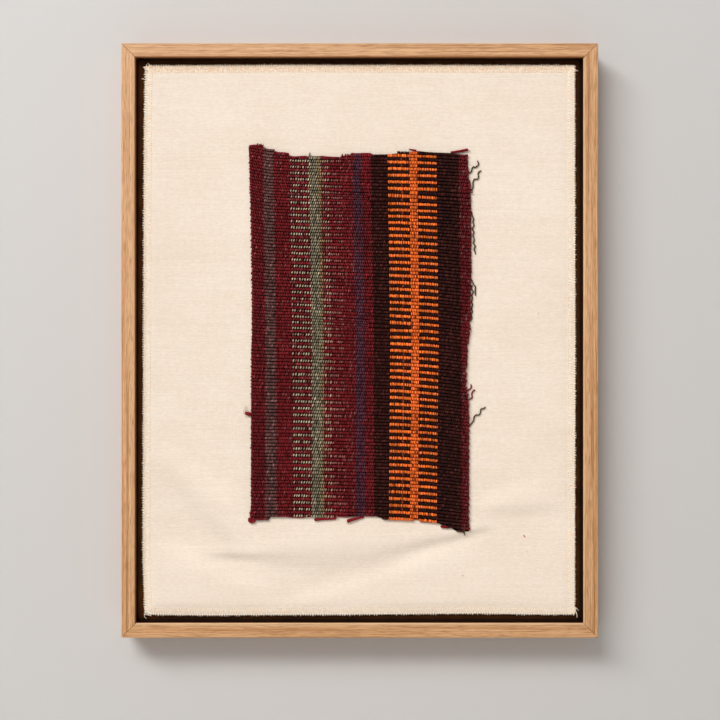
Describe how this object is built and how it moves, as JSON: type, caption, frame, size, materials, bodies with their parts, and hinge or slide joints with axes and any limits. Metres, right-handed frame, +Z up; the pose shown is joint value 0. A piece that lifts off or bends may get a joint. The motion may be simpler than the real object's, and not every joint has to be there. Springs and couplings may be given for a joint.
{
  "type": "framed kilim fragment (kilim fragment on mount cloth in oak box frame)",
  "caption": "Cut piece of striped, ribbed flatweave lying on a pale overlocked cloth in a slim mitred oak box frame that hangs on a wall",
  "frame": {"origin": "middle of the top rail's back face, where the frame hangs against the wall", "axes": "+X to the right as seen from the front, +Y into the wall, +Z up; the picture side faces -Y"},
  "size_m": [0.43, 0.035, 0.536],
  "materials": {
    "oak": "pale oak with straight grain, thin satin oil, inner walls painted dark",
    "dark_board": "dark brown stain, matte",
    "cotton_cloth": "natural cotton plain weave, matte, overlocked edge",
    "kilim_wool": "ribbed wool flatweave in burgundy, orange, grey-green and near-black stripes",
    "olive_yarn": "crimped two-ply wool yarn",
    "red_yarn": "soft dyed wool weft"
  },
  "bodies": {
    "root": {"rail_top": "oak", "rail_bottom": "oak", "rail_left": "oak", "rail_right": "oak", "backing_board": "dark_board", "mount_cloth": "cotton_cloth", "kilim_fragment": "kilim_wool", "loose_yarn_1": "olive_yarn", "loose_yarn_2": "olive_yarn", "loose_yarn_3": "olive_yarn", "loose_yarn_4": "olive_yarn", "loose_yarn_5": "olive_yarn", "loose_yarn_6": "olive_yarn", "loose_yarn_7": "olive_yarn", "loose_yarn_8": "olive_yarn", "weft_end_1": "red_yarn", "weft_end_2": "red_yarn", "weft_end_3": "red_yarn", "weft_end_4": "red_yarn", "weft_end_5": "red_yarn", "weft_end_6": "red_yarn", "weft_end_7": "red_yarn"}
  },
  "joints": []
}
